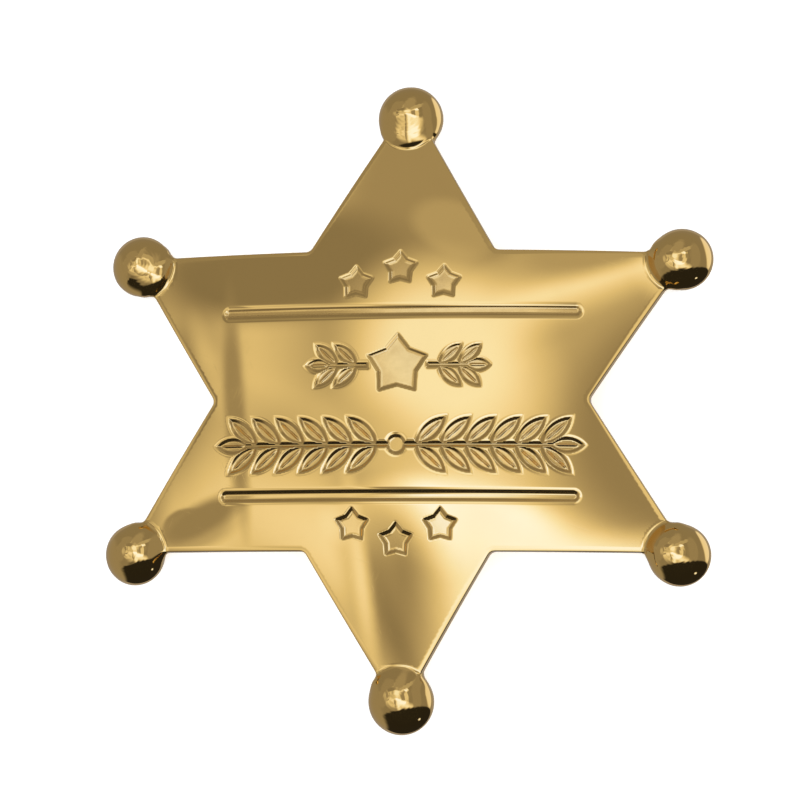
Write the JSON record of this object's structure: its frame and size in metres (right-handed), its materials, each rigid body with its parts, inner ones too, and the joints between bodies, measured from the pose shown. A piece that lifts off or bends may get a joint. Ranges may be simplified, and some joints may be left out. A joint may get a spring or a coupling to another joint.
{
  "type": "star badge",
  "caption": "Star badge pressed from domed brass sheet, with hollow ball tips, a pressed pattern of laurel, stars and grooves, and a bar pin on the back.",
  "frame": {"origin": "middle of the badge, on the plane that the rims of its balls rest on", "axes": "+Z out of the face, +Y to the top of the face, +X to the right of the face"},
  "size_m": [0.0622, 0.066, 0.0056],
  "materials": {
    "gold_plate": "polished, gold coloured",
    "pin_metal": "tumbled, gold coloured"
  },
  "bodies": {
    "root": {"star_plate": "gold_plate", "pin_back": "pin_metal"}
  },
  "joints": []
}
